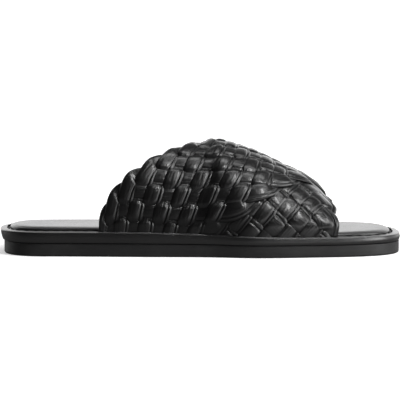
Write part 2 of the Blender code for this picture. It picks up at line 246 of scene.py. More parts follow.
def grainGroup():
    # leather grain: warped pebbles with fine pores, as a height
    tree, given, result = newGroup(
        "leatherGrain", "ShaderNodeTree", [("Vector", "Vector", None), ("Pebble", "Float", 900.0)],
        [("Height", "Float")])
    vector = given["Vector"]
    warp, valleyWidth, valleyHeight, poreHeight = 0.0012, 0.10, -0.7, 0.6
    noise = addNode(tree, "ShaderNodeTexNoise", {"Vector": vector, "Scale": 220.0, "Detail": 3.0}, "Color")
    shifted = vectorMath(tree, "MULTIPLY_ADD", {0: noise, 1: (warp, warp, warp), 2: vector})
    edge = addNode(tree, "ShaderNodeTexVoronoi", {"Vector": shifted, "Scale": given["Pebble"]},
                   feature="DISTANCE_TO_EDGE")
    fine = addNode(tree, "ShaderNodeTexNoise",
                   {"Vector": vector, "Scale": 2600.0, "Detail": 4.0, "Roughness": 0.6})
    valleys = mathNode(tree, "MULTIPLY", mapRange(tree, edge, 0.0, valleyWidth, 1.0, 0.0), valleyHeight)
    pores = mathNode(tree, "MULTIPLY", fine, poreHeight)
    tree.links.new(mathNode(tree, "ADD", valleys, pores), result["Height"])
    return tree


def creaseGroup():
    # long creases that run one way: the vector is squeezed across the creases and stretched along them
    tree, given, result = newGroup(
        "leatherCreases", "ShaderNodeTree",
        [("Vector", "Vector", None), ("Across", "Float", 6.0), ("Along", "Float", 1.0),
         ("Sharpness", "Float", 0.5)],
        [("Height", "Float")])
    split = splitVector(tree, given["Vector"])
    squeezed = joinVector(tree, mathNode(tree, "MULTIPLY", split["X"], given["Across"]),
                          mathNode(tree, "MULTIPLY", split["Y"], given["Along"]), split["Z"])
    noise = addNode(tree, "ShaderNodeTexNoise", {
        "Vector": squeezed, "Scale": 1.0, "Detail": 2.5, "Roughness": 0.45, "Distortion": 0.4})
    ridge = mathNode(tree, "ABSOLUTE", mathNode(tree, "SUBTRACT", noise, 0.5))
    sharp = mathNode(tree, "POWER", mathNode(tree, "MULTIPLY", ridge, 2.0), given["Sharpness"])
    tree.links.new(sharp, result["Height"])
    return tree


def scuffGroup():
    # faint rubbed and dusty patches, as a mask
    tree, given, result = newGroup(
        "softScuffs", "ShaderNodeTree",
        [("Vector", "Vector", None), ("Size", "Float", 60.0), ("Amount", "Float", 0.4)], [("Mask", "Float")])
    broad = addNode(tree, "ShaderNodeTexNoise",
                    {"Vector": given["Vector"], "Scale": given["Size"], "Detail": 5.0, "Roughness": 0.62})
    tree.links.new(mapRange(tree, broad, 0.48, 0.72, 0.0, given["Amount"]), result["Mask"])
    return tree


groups = {"grain": grainGroup(), "creases": creaseGroup(), "scuffs": scuffGroup()}

# pebbles are per metre, the grain's and the creases' heights in metres
plainFinish = {"coat": 0.0, "coatRough": 0.4, "specular": 0.5, "grain": 0.00003}
finishes = {
    "braidLeather": {
        "colour": (0.0050, 0.0049, 0.0051), "worn": (0.010, 0.0098, 0.010), "rough": 0.29, "wornRough": 0.38,
        "coat": 0.25, "coatRough": 0.15, "pebble": 1500.0, "grain": 0.000022, "scuffSize": 70.0,
        "scuffs": 0.6, "creases": {"across": 9.0, "along": 0.55, "sharp": 0.85, "height": 0.00036}},
    "liningLeather": {
        "colour": (0.014, 0.0135, 0.0135), "worn": (0.022, 0.021, 0.021), "rough": 0.52, "wornRough": 0.60,
        "pebble": 1300.0, "grain": 0.00005, "scuffSize": 40.0, "scuffs": 0.5},
    "insoleLeather": {
        "colour": (0.013, 0.013, 0.0135), "worn": (0.022, 0.022, 0.0225), "rough": 0.34, "wornRough": 0.42,
        "coat": 0.25, "coatRough": 0.25, "pebble": 1100.0, "scuffSize": 26.0, "scuffs": 0.5},
    "rimLeather": {
        "colour": (0.0075, 0.0075, 0.0078), "worn": (0.014, 0.014, 0.0143), "rough": 0.31, "wornRough": 0.38,
        "coat": 0.15, "coatRough": 0.26, "specular": 1.0, "pebble": 1300.0, "scuffSize": 60.0,
        "scuffs": 0.6},
    "outsoleRubber": {
        "colour": (0.0250, 0.0250, 0.0255), "worn": (0.038, 0.038, 0.038), "rough": 0.46, "wornRough": 0.58,
        "pebble": 2400.0, "grain": 0.00002, "scuffSize": 45.0, "scuffs": 0.7},
    "stitchThread": {
        "colour": (0.003, 0.003, 0.003), "worn": (0.006, 0.006, 0.006), "rough": 0.75, "wornRough": 0.85,
        "specular": 0.2, "pebble": 5000.0, "scuffSize": 300.0, "scuffs": 0.3},
}


def makeMaterial(name):
    look = {**plainFinish, **finishes[name]}
    made = bpy.data.materials.new(name)
    made.use_nodes = True
    tree = made.node_tree
    place = addNode(tree, "ShaderNodeTexCoord", output="Object")
    grain = addNode(tree, "ShaderNodeGroup", {"Vector": place, "Pebble": look["pebble"]},
                    node_tree=groups["grain"])
    scuffs = addNode(tree, "ShaderNodeGroup",
                     {"Vector": place, "Size": look["scuffSize"], "Amount": look["scuffs"]},
                     node_tree=groups["scuffs"])
    mix = addNode(tree, "ShaderNodeMix", {"Factor": scuffs}, data_type="RGBA").node
    for socket, value in zip([s for s in mix.inputs if s.type == "RGBA"], ("colour", "worn"), strict=True):
        socket.default_value = (*look[value], 1)
    bump = addNode(tree, "ShaderNodeBump", {"Height": grain, "Strength": 1.0, "Distance": look["grain"]})
    if "creases" in look:
        fold = look["creases"]
        strand = addNode(tree, "ShaderNodeAttribute", output="Vector", attribute_name="strandPlace")
        creases = addNode(tree, "ShaderNodeGroup", {
            "Vector": strand, "Across": fold["across"], "Along": fold["along"],
            "Sharpness": fold["sharp"]}, node_tree=groups["creases"])
        bump = addNode(tree, "ShaderNodeBump", {
            "Height": creases, "Strength": 1.0, "Distance": fold["height"], "Normal": bump})
    feed(tree, tree.nodes["Principled BSDF"], {
        "Base Color": next(s for s in mix.outputs if s.type == "RGBA"),
        "Roughness": mapRange(tree, scuffs, 0.0, 1.0, look["rough"], look["wornRough"]),
        "Normal": bump,
        "Coat Weight": look["coat"],
        "Coat Roughness": look["coatRough"],
        "Specular IOR Level": look["specular"]})
    return made


materials = {name: makeMaterial(name) for name in finishes}
print("finishes made:", len(materials))

# the straps: two wide flat plaits of folded leather strips
plait = {
    "instep": 0.0499,
    "ridgeToMedial": 0.0040,  # how far the ridge lies to the medial side, until it fades out to the toe
    "ridgeFade": 0.35,
    "ridgeEnd": 0.85,
    "thickness": 0.0038,
    "underThickness": 0.0020,
    "setback": 0.0090,        # how much further forward the straps' rear lies on the medial side
    "setbackStart": -0.1,
    "setbackEnd": 0.62,
    "girthFactor": 1.4,
    "crossingRise": 0.0080,
    "crossingStart": 0.0060,
    "slotDepth": 0.0030,
    "slotClearance": 0.0004,
    "footStart": 0.86,        # round the last, from where the straps are pressed flat towards the sole
    "footLength": 0.12,
    "footPressed": 0.20,
    "hiddenPressed": 0.56,    # how much the lower strap is pressed flat under the upper one
    "acrossCount": 5.5,
    "borderSteps": 60,
    # the last's grid along and round it, and its steps from the ridge down
    "gridShares": (0.15, 0.90, 226),
    "gridRounds": (-2.6, 2.6, 781),
    "gridTurns": 81,
    # share, ridge height in instep heights, fullness of the section
    "ridge": (
        (0.20, 1.32, 2.40),
        (0.30, 1.22, 2.35),
        (0.40, 1.12, 2.30),
        (0.48, 1.07, 2.25),
        (0.55, 1.04, 2.20),
        (0.60, 0.975, 2.15),
        (0.65, 0.880, 2.15),
        (0.70, 0.755, 2.15),
        (0.75, 0.640, 2.20),
        (0.78, 0.535, 2.30),
        (0.81, 0.385, 2.55),
        (0.84, 0.315, 2.90),
        (0.87, 0.290, 3.10),
    ),
    # crossings along, back edge share and round, front edge share and round
    "rungs": (
        (0.0, 0.240, -1.21, 0.330, -1.92),
        (1.5, 0.252, -0.85, 0.386, -1.62),
        (3.0, 0.302, -0.58, 0.436, -1.47),
        (4.5, 0.378, -0.37, 0.482, -1.25),
        (6.0, 0.456, -0.165, 0.556, -0.98),
        (7.5, 0.524, 0.03, 0.648, -0.71),
        (9.0, 0.545, 0.32, 0.728, -0.43),
        (10.5, 0.536, 0.58, 0.788, -0.12),
        (12.0, 0.518, 0.82, 0.830, 0.22),
        (13.5, 0.498, 1.10, 0.837, 0.70),
        (15.0, 0.480, 1.36, 0.838, 1.22),
    ),
}
plaitEnd = plait["rungs"][-1][0]
lastShares = np.linspace(*plait["gridShares"])
lastRounds = np.linspace(*plait["gridRounds"])


def edgeAcross(x, side, inset):
    ring = outlinePoints + outlineInwards * inset
    steps = shoe["steps"]
    run = ring[:steps + 1] if side < 0 else np.vstack([ring[:1], ring[:steps - 1:-1]])
    return np.interp(x, run[:, 0], run[:, 1])


def lastGrid():
    turn = np.linspace(0, math.pi / 2, plait["gridTurns"])
    rows = []
    for share in lastShares:
        x = xAt(share)
        height = plait["instep"] * smoothColumn(plait["ridge"], 1, share)
        power = smoothColumn(plait["ridge"], 2, share)
        ridge = middle + plait["ridgeToMedial"] * ease((plait["ridgeEnd"] - share) / plait["ridgeFade"])
        halves = []
        for side in (-1, 1):
            edge = edgeAcross(x, side, shoe["rimWidth"] - 2 * shoe["seatGap"])
            y = ridge + (edge - ridge) * np.sin(turn) ** (2 / power)
            z = rimHeight(x) + height * np.cos(turn) ** (2 / power)
            length = np.concatenate([[0], np.cumsum(np.hypot(np.diff(y), np.diff(z)))])
            reach = lastRounds[lastRounds >= 0] * length[-1]
            below = np.maximum(0, reach - length[-1])
            halves.append(np.column_stack([np.interp(reach, length, y), np.interp(reach, length, z) - below]))
        rows.append(np.vstack([halves[0][:0:-1], halves[1]]))
    points = np.empty((len(lastShares), len(lastRounds), 3))
    points[:, :, 0] = xAt(lastShares)[:, None]
    points[:, :, 1:] = rows
    out = np.cross(np.gradient(points, axis=0), np.gradient(points, axis=1))
    return points, out / np.linalg.norm(out, axis=2)[:, :, None]


lastPoints, lastOut = lastGrid()


def onLast(share, around):
    places = []
    for at, lines in ((share, lastShares), (around, lastRounds)):
        place = (np.asarray(at) - lines[0]) / (lines[1] - lines[0])
        cell = np.clip(place.astype(int), 0, len(lines) - 2)
        places.append((cell, np.clip(place - cell, 0, 1)[..., None]))
    (i, s), (j, t) = places
    found = []
    for grid in (lastPoints, lastOut):
        low = grid[i, j] * (1 - t) + grid[i, j + 1] * t
        high = grid[i + 1, j] * (1 - t) + grid[i + 1, j + 1] * t
        found.append(low * (1 - s) + high * s)
    return found


def plaitPlace(along, across, lower):
    # across runs from 0 at the back edge to 1 at the front edge
    backX, backRound, frontX, frontRound = (
        smoothColumn(plait["rungs"], column, along) for column in (1, 2, 3, 4))
    share = backX + (frontX - backX) * across
    around = backRound + (frontRound - backRound) * across
    if lower:
        around = -around
    rear = np.clip(1 - share / plait["setbackEnd"], 0, 1) / plait["setbackEnd"]
    setback = plait["setback"] / shoe["length"] * ease(around - plait["setbackStart"]) * rear
    return share + setback, around


def flattened(share, around):
    return share * shoe["length"], around * plait["instep"] * plait["girthFactor"]


def plaitBorder(lower):
    steps = np.linspace(0, plaitEnd, plait["borderSteps"])
    back = np.column_stack(flattened(*plaitPlace(steps, 0.0, lower)))
    front = np.column_stack(flattened(*plaitPlace(steps[::-1], 1.0, lower)))
    return np.vstack([back, front])


def depthInside(share, around, border):
    places = np.stack(flattened(share, around), axis=-1)[..., None, :]
    along = np.roll(border, -1, axis=0) - border
    offset = places - border
    t = np.clip((offset * along).sum(-1) / np.maximum((along**2).sum(-1), 1e-12), 0, 1)
    distance = np.linalg.norm(offset - t[..., None] * along, axis=-1).min(-1)
    crosses = (border[:, 1] > places[..., 1]) != ((border + along)[:, 1] > places[..., 1])
    rise = np.where(crosses, along[:, 1], 1.0)
    atX = border[:, 0] + (places[..., 1] - border[:, 1]) / rise * along[:, 0]
    inside = (crosses & (atX > places[..., 0])).sum(-1) % 2 == 1
    return np.where(inside, distance, -distance)


def plaitLevels(share, around, lower):
    # how far the strips are lifted over the lower plait, how much of their height is left where they are
    # pressed flat, and how deep they lie inside the other plait
    depth = depthInside(share, around, plaitBorder(not lower))
    foot = ease((np.abs(around) - plait["footStart"]) / plait["footLength"])
    pressed = 1 - plait["footPressed"] * foot
    if lower:
        hidden = ease((depth - plait["crossingRise"] + plait["crossingStart"]) / plait["crossingStart"])
        return np.zeros_like(depth), pressed * (1 - plait["hiddenPressed"] * hidden), depth
    lifted = ease((depth + plait["crossingStart"]) / plait["crossingRise"]) * (1 - foot)
    return plait["underThickness"] * lifted, pressed, depth


def slotFloor(points):
    return rimHeight(points[..., 0]) - plait["slotDepth"] + shoe["seatGap"]


strip = {
    "middle": 0.00255,      # height of the plait's middle above the last
    "swing": 0.00085,       # how far a strip rises and dips
    "turnRadius": 0.42,     # of the fold at the plait's edges, in crossings
    "turnStart": 0.30,
    "turnLength": 0.60,
    "samples": 18,          # per crossing along the plait
    "startShift": 0.5,
    "shortest": 9,          # runs of this many samples or fewer are left out
    "longer": 0.16,         # how much longer the steep strips stay up than the level ones
    "flatTop": 0.32,        # below 1 the strips stay up for longer and dive steeply
    "sunk": 0.0070,         # how far below the rim the strips' middles run on, so that no cut end shows
    "hideDepth": 0.013,     # where the lower plait's strips end under the upper one
    # half widths in crossings, thickness in metres and share of the swing
    "steep": {"over": 0.475, "under": 0.34, "thickness": 0.0030, "swing": 1.1},
    "level": {"over": 0.37, "under": 0.33, "thickness": 0.0020, "swing": 0.45},
    "even": {"over": 0.42, "under": 0.34, "thickness": 0.0025, "swing": 0.9},
    "evenFrom": 6.5,        # from this crossing on the strips grow alike, over so many crossings
    "evenOver": 3.5,
    "fold": {"width": 0.43, "thickness": 0.0023},
    "unevenWidth": 0.07,    # the hand-made unevenness: a share of the width, and metres of height
    "unevenHeight": 0.00014,
    # its waves: turn for each crossing along a strip and for each strip
    "widthWaves": ((2.3, 1.7), (3.9, 2.9)),
    "heightWave": (2.9, 2.3),
    "seedStep": 1.37,
    "guideSteps": (260, 104),
    "margin": 1.0,          # how far the guide reaches beyond the plait, in crossings
    # across from -1 to 1 and height in thicknesses: a puffy body, a notch and the fold's lip
    "section": (
        (-1.00, -0.06),
        (-0.95, 0.12),
        (-0.84, 0.29),
        (-0.66, 0.41),
        (-0.42, 0.48),
        (-0.15, 0.50),
        (0.12, 0.485),
        (0.34, 0.43),
        (0.49, 0.33),
        (0.53, 0.10),
        (0.58, 0.10),
        (0.63, 0.29),
        (0.71, 0.34),
        (0.81, 0.28),
        (0.91, 0.12),
        (1.00, -0.08),
        (0.86, -0.32),
        (0.45, -0.47),
        (0.0, -0.50),
        (-0.45, -0.47),
        (-0.86, -0.32),
    ),
}


def stripPath(start, along):
    # a strip's place across the plait and its rise, from a fold at the back edge to one at the front and back
    width = plait["acrossCount"]
    radius = strip["turnRadius"]
    phase = np.mod(along - start, 2 * width)
    fromBack = np.minimum(phase, 2 * width - phase)
    nearBack = np.sqrt(fromBack**2 + radius**2)
    nearFront = width - np.sqrt((width - fromBack) ** 2 + radius**2)
    across = nearBack + (nearFront - nearBack) * ease(fromBack / width)
    t = phase - np.round(phase / width) * width
    rise = np.where(np.abs(t) <= 0.5, -np.sin(math.pi * t), np.sign(t) * np.cos(2 * math.pi * t))
    # 1 on the steep strips, which run back from the front edge, and 0 on the level ones
    steep = (phase > width).astype(float)
    turning = 1 - ease((np.abs(t) - strip["turnStart"]) / strip["turnLength"])
    return across, rise, steep, turning


def wave(along, start, turns):
    # an unevenness along one strip, which differs from strip to strip
    return np.sin(turns[0] * along + turns[1] * start)


def stripRuns(lower):
    # the centre lines of one plait's strips in the plait's own flat space, cut where they aren't seen
    runs = []
    along = np.arange(0, plaitEnd + 1e-6, 1 / strip["samples"])
    for start in range(int(2 * plait["acrossCount"])):
        across, rise, steep, turning = stripPath(start + strip["startShift"], along)
        even = ease((along - strip["evenFrom"]) / strip["evenOver"])
        longer = strip["longer"] * (2 * steep - 1) * (1 - even) * (1 - turning)
        rise = np.clip(rise + longer, -1, 1)
        over = ease(0.5 + 0.5 * rise)
        rise = np.sign(rise) * np.abs(rise) ** strip["flatTop"]

        def blended(key):
            # the steep strips' and the level strips' value, which grow alike along the plait
            high, low, mean = strip["steep"][key], strip["level"][key], strip["even"][key]
            return (low + (high - low) * steep) * (1 - even) + mean * even

        width = blended("under") + (blended("over") - blended("under")) * over
        width += (strip["fold"]["width"] - width) * turning
        waves = [wave(along, start, turns) for turns in strip["widthWaves"]]
        width *= 1 + strip["unevenWidth"] * np.prod(waves, axis=0)
        thick = blended("thickness")
        thick += (strip["fold"]["thickness"] - thick) * turning
        swing = blended("swing")
        rise = rise * (swing + (1 - swing) * turning)
        height = strip["middle"] + strip["swing"] * rise
        height += strip["unevenHeight"] * wave(along, start, strip["heightWave"])
        share, around = plaitPlace(along, across / plait["acrossCount"], lower)
        points = onLast(share, around)[0]
        shown = points[:, 2] > rimHeight(points[:, 0]) - strip["sunk"]
        if lower:
            shown &= plaitLevels(share, around, lower)[2] < strip["hideDepth"]
        edges = np.flatnonzero(np.diff(np.concatenate([[0], shown.astype(int), [0]])))
        for first, last in zip(edges[::2], edges[1::2], strict=True):
            if last - first > strip["shortest"]:
                seed = np.full(len(along), strip["seedStep"] * len(runs))
                columns = np.column_stack([along, across, height, width, thick, seed])
                runs.append(columns[first:last])
    return runs


def gridFace(i, j, rows):
    return i * rows + j, i * rows + j + 1, (i + 1) * rows + j + 1, (i + 1) * rows + j


def setAttribute(mesh, key, values, kind="FLOAT"):
    attribute = mesh.attributes.new(key, kind, "POINT")
    attribute.data.foreach_set("value" if kind == "FLOAT" else "vector",
                               np.ascontiguousarray(values, np.float32).ravel())


def guideSurface(name, lower):
    # the plait's place on the last as a mesh, whose UV map is the plait's flat space with a margin all round
    (longSteps, wideSteps), margin = strip["guideSteps"], strip["margin"]
    flat = np.stack(np.meshgrid(np.linspace(0, 1, longSteps + 1), np.linspace(0, 1, wideSteps + 1),
                                indexing="ij"), axis=-1)
    along = flat[..., 0] * (plaitEnd + 2 * margin) - margin
    wide = (flat[..., 1] * (plait["acrossCount"] + 2 * margin) - margin) / plait["acrossCount"]
    share, around = plaitPlace(along, wide, lower)
    points, out = onLast(share, around)
    lift, pressed = plaitLevels(share, around, lower)[:2]
    faces = [gridFace(i, j, wideSteps + 1) for i in range(longSteps) for j in range(wideSteps)]
    mesh = bpy.data.meshes.new(name)
    mesh.from_pydata([tuple(p) for p in points.reshape(-1, 3)], [], faces)
    uv = mesh.uv_layers.new(name="plaitMap")
    loops = np.empty(len(mesh.loops), int)
    mesh.loops.foreach_get("vertex_index", loops)
    uv.data.foreach_set("uv", flat.reshape(-1, 2)[loops].ravel())
    setAttribute(mesh, "out", out, "FLOAT_VECTOR")
    setAttribute(mesh, "lift", lift)
    setAttribute(mesh, "pressed", pressed)
    setAttribute(mesh, "slotFloor", slotFloor(points))
    return sceneObject(name, mesh)


def lineObject(name, runs, closed=False, columns=()):
    # lines through the runs' points; further columns become attributes of their points
    points = np.vstack(runs)
    edges, first = [], 0
    for run in runs:
        edges += [(first + k, first + k + 1) for k in range(len(run) - 1)]
        if closed:
            edges.append((first + len(run) - 1, first))
        first += len(run)
    mesh = bpy.data.meshes.new(name)
    mesh.from_pydata([tuple(p[:3]) for p in points], edges, [])
    for column, key in enumerate(columns, 3):
        setAttribute(mesh, key, points[:, column])
    return sceneObject(name, mesh)


def namedValue(tree, key, kind="FLOAT"):
    return addNode(tree, "GeometryNodeInputNamedAttribute", {"Name": key}, data_type=kind)


def keptCurve(tree, curve, values):
    # a curve whose points remember some values through the sweep: the curve, then the values
    node = addNode(tree, "GeometryNodeCaptureAttribute", {"Geometry": curve}, domain="POINT").node
    for index, (key, source) in enumerate(values.items(), 1):
        node.capture_items.new("FLOAT", key)
        tree.links.new(source, node.inputs[index])
    return [node.outputs[index] for index in range(len(values) + 1)]


def finishTree(tree, geometry, material, result):
    # the end of each tree: one smooth mesh with its material
    smooth = addNode(tree, "GeometryNodeSetShadeSmooth", {"Geometry": geometry})
    single = addNode(tree, "GeometryNodeRealizeInstances", {"Geometry": smooth})
    dressed = addNode(tree, "GeometryNodeSetMaterial", {"Geometry": single, "Material": material})
    tree.links.new(dressed, result["Geometry"])


def plaitTree():
    # sweeps the strips' profile along their flat paths, then lays the result on the guide surface
    tree, given, result = newGroup(
        "plaitStrips", "GeometryNodeTree",
        [("Geometry", "Geometry", None), ("Guide", "Object", None), ("Profile", "Object", None),
         ("Guide Length", "Float", plaitEnd + 2 * strip["margin"]),
         ("Guide Width", "Float", plait["acrossCount"] + 2 * strip["margin"]),
         ("Margin", "Float", strip["margin"]), ("Material", "Material", None)],
        [("Geometry", "Geometry")])
    guide = addNode(tree, "GeometryNodeObjectInfo", {"Object": given["Guide"]}, "Geometry")
    profile = addNode(tree, "GeometryNodeObjectInfo", {"Object": given["Profile"]}, "Geometry")
    position = addNode(tree, "GeometryNodeInputPosition")
    flat = splitVector(tree, position)
    onSpline = addNode(tree, "GeometryNodeSplineParameter").node.outputs
    width = namedValue(tree, "halfWidth")
    path = addNode(tree, "GeometryNodeMeshToCurve", {"Mesh": given["Geometry"]})
    upright = addNode(tree, "GeometryNodeSetCurveNormal", {"Curve": path}, mode="Z_UP")
    kept, alongStrip, centre, stripWidth, thickness, seed = keptCurve(tree, upright, {
        "alongStrip": onSpline["Length"], "centreHeight": flat["Z"], "stripWidth": width,
        "stripThickness": namedValue(tree, "thickness"), "stripSeed": namedValue(tree, "seed")})
    ribbon = addNode(tree, "GeometryNodeMeshToCurve", {"Mesh": profile})
    keptRibbon, aroundStrip = keptCurve(tree, ribbon, {"aroundStrip": onSpline["Factor"]})
    swept = addNode(tree, "GeometryNodeCurveToMesh",
                    {"Curve": kept, "Profile Curve": keptRibbon, "Scale": width, "Fill Caps": True})
    sampleAt = joinVector(tree, *(
        mathNode(tree, "DIVIDE", mathNode(tree, "ADD", flat[axis], given["Margin"]), given[reach])
        for axis, reach in (("X", "Guide Length"), ("Y", "Guide Width"))))
    guideMap = namedValue(tree, "plaitMap", "FLOAT_VECTOR")

    def onGuide(source, kind="FLOAT"):
        return addNode(tree, "GeometryNodeSampleUVSurface", {
            "Mesh": guide, "Source UV Map": guideMap, "Sample UV": sampleAt, "Value": source},
            data_type=kind)

    out = onGuide(namedValue(tree, "out", "FLOAT_VECTOR"), "FLOAT_VECTOR")
    # the sweep turns the section's height downwards, so it is turned up again here
    puffed = mathNode(tree, "DIVIDE", mathNode(tree, "SUBTRACT", centre, flat["Z"]), stripWidth)
    height = mathNode(tree, "ADD", centre, mathNode(tree, "MULTIPLY", puffed, thickness))
    height = mathNode(tree, "MULTIPLY", height, onGuide(namedValue(tree, "pressed")))
    height = mathNode(tree, "ADD", height, onGuide(namedValue(tree, "lift")))
    raised = vectorMath(tree, "SCALE", {0: out, "Scale": height})
    place = splitVector(tree, vectorMath(tree, "ADD", {0: onGuide(position, "FLOAT_VECTOR"), 1: raised}))
    clear = mathNode(tree, "MAXIMUM", place["Z"], onGuide(namedValue(tree, "slotFloor")))
    laid = addNode(tree, "GeometryNodeSetPosition", {
        "Geometry": swept, "Position": joinVector(tree, place["X"], place["Y"], clear)})
    stored = addNode(tree, "GeometryNodeStoreNamedAttribute", {
        "Geometry": laid, "Name": "strandPlace",
        "Value": joinVector(tree, aroundStrip, alongStrip, seed)}, data_type="FLOAT_VECTOR", domain="POINT")
    finishTree(tree, stored, given["Material"], result)
    return tree


def applyTree(made, tree, values, helpers=()):
    # runs a Geometry Nodes tree on an object and keeps the result as its plain mesh
    modifier = made.modifiers.new(tree.name, "NODES")
    modifier.node_group = tree
    for item in tree.interface.items_tree:
        if item.item_type == "SOCKET" and item.in_out == "INPUT" and item.name in values:
            modifier[item.identifier] = values[item.name]
    graph = bpy.context.evaluated_depsgraph_get()
    result = bpy.data.meshes.new_from_object(made.evaluated_get(graph), depsgraph=graph)
    made.modifiers.clear()
    made.data = result
    for helper in helpers:
        bpy.data.objects.remove(helper)


def makePlaits():
    tree = plaitTree()
    made = []
    for name, lower in (("upperPlait", False), ("lowerPlait", True)):
        runs = stripRuns(lower)
        piece = lineObject(name, runs, columns=("halfWidth", "thickness", "seed"))
        guide = guideSurface(name + "Guide", lower)
        section = np.array([(-u, w, 0) for u, w in strip["section"]])
        profile = lineObject(name + "Profile", [section], closed=True)
        applyTree(piece, tree, {"Guide": guide, "Profile": profile, "Material": materials["braidLeather"]},
                  (guide, profile))
        facesOutwards(piece.data)
        print("plait:", name, len(runs), "strips,", len(piece.data.polygons), "faces")
        made.append(piece)
    return made


lining = {
    "steps": (150, 26),
    "edgeInset": 0.022,         # of the plait's width
    "heights": (0.0011, 0.00005),
    "lifted": 0.5,              # of the upper plait's lift over the lower one
    "sunk": 0.004,              # how far below the slots' floor its grid runs on
}


def makeLining(name, lower):
    # thin leather on the inside of one strap
    longSteps, wideSteps = lining["steps"]
    inset = lining["edgeInset"]
    along = np.linspace(0, plaitEnd, longSteps + 1)[:, None] + np.zeros((1, wideSteps + 1))
    wide = np.linspace(inset, 1 - inset, wideSteps + 1)[None, :] + np.zeros((longSteps + 1, 1))
    share, around = plaitPlace(along, wide, lower)
    points, out = onLast(share, around)
    lift = plaitLevels(share, around, lower)[0]
    layers = []
    for height in lining["heights"]:
        layer = points + out * (height + lining["lifted"] * lift)[..., None]
        layer[..., 2] = np.maximum(layer[..., 2], slotFloor(points))
        layers.append(layer.reshape(-1, 3))
    shown = points[..., 2] > rimHeight(points[..., 0]) - plait["slotDepth"] - lining["sunk"]
    rows = wideSteps + 1
    count = (longSteps + 1) * rows
    cells = [(i, j) for i in range(longSteps) for j in range(wideSteps) if shown[i:i + 2, j:j + 2].all()]
    faces = []
    borders = {}
    for i, j in cells:
        loop = gridFace(i, j, rows)
        faces.append(loop)
        faces.append(tuple(count + k for k in reversed(loop)))
        for a, b in zip(loop, loop[1:] + loop[:1], strict=True):
            if (b, a) in borders:
                del borders[(b, a)]
            else:
                borders[(a, b)] = True
    faces += [(b, a, a + count, b + count) for a, b in borders]
    made = meshObject(name, np.vstack(layers), faces, "liningLeather")

    def dropLoose(bm):
        loose = [v for v in bm.verts if not v.link_faces]
        bmesh.ops.delete(bm, geom=loose, context="VERTS")

    changeMesh(made.data, dropLoose)
    return made


upperPieces = makePlaits()
linings = [makeLining("upperPlaitLining", False), makeLining("lowerPlaitLining", True)]
print("straps made")

# the sole
sole = {
    "topRadius": 0.0006,
    "topSteps": 7,
    "rimRise": 0.0005,        # how far the rim's top rises towards the insole
    "rimStops": (0.15, 0.35, 0.55, 0.75, 0.9),
    "lowRadius": 0.0010,
    "lowSteps": 5,
    "wallSteps": 8,
    "wallLean": 0.2,          # what is left at the wall's top of the heel's lean
    "sideBulge": 0.00025,
    "beadDepth": 0.0009,      # the crease where the rim's wrapped edge turns down
    # height above the crease, inset and lean
    "bead": ((0.00008, 0.00012, 0.2), (0.00020, 0.0, 0.15)),
    "lipRadius": 0.0001,
    "grooveWidth": 0.0011,    # the stitched groove at the insole's foot
    "grooveDepth": 0.0007,
    # shares of the groove's width and depth, and metres further down
    "groove": ((1.0, 0.3, 0.0), (0.95, 1.0, 0.0), (0.08, 1.0, 0.00002)),
    "seatDepth": 0.0010,
    "seatFall": 0.00005,
    "slotFade": 0.004,        # share of the length over which a slot ends
    "outsoleInset": 0.0012,
    "toeInset": 0.0003,       # the outsole's inset at the tip of the toe
    "toeInsetStart": 0.86,
    "toeInsetLength": 0.12,
    "outsoleEdge": 0.0010,
    "outsoleSteps": 12,
    "underInset": 0.004,
    # a fine line round the outsole: its depth in metres, and its place and width in shares of the wall
    "line": (0.00008, 0.62, 0.03),
}


def strapEntry():
    # the shares between which the straps enter the sole, on the side of each point of the outline
    steps, nearRim = 400, 0.04
    first, last = np.zeros(len(sideOf)), np.zeros(len(sideOf))
    for side in (-1, 1):
        found = []
        for lower in (False, True):
            for across in (0.0, 1.0):
                share, around = plaitPlace(np.linspace(0, plaitEnd, steps), across, lower)
                found += list(share[np.abs(around - side) < nearRim])
        first[sideOf == side] = min(found)
        last[sideOf == side] = max(found)
    return first, last


entryFirst, entryLast = strapEntry()


def slotShare():
    # 1 along the straps' slots and 0 away from them, for each point of the outline
    share, fade = shareAt(outlinePoints[:, 0]), sole["slotFade"]
    return ease((share - entryFirst + fade) / fade) * ease((entryLast + fade - share) / fade)


def quarterTurn(steps, first=0):
    # the steps of a rounded edge: how much is left of its radius to one side, and how much it has risen
    turns = np.linspace(0, math.pi / 2, steps + 1)[first:]
    return [(1 - math.sin(turn), 1 - math.cos(turn)) for turn in turns]


def loft(name, rings, finish):
    # a solid through the rings, which stays above the floor
    points = np.vstack(rings)
    points[:, 2] = np.maximum(points[:, 2], 0.0)
    return meshObject(name, points, loftFaces(len(rings), len(outlinePoints)), finish)


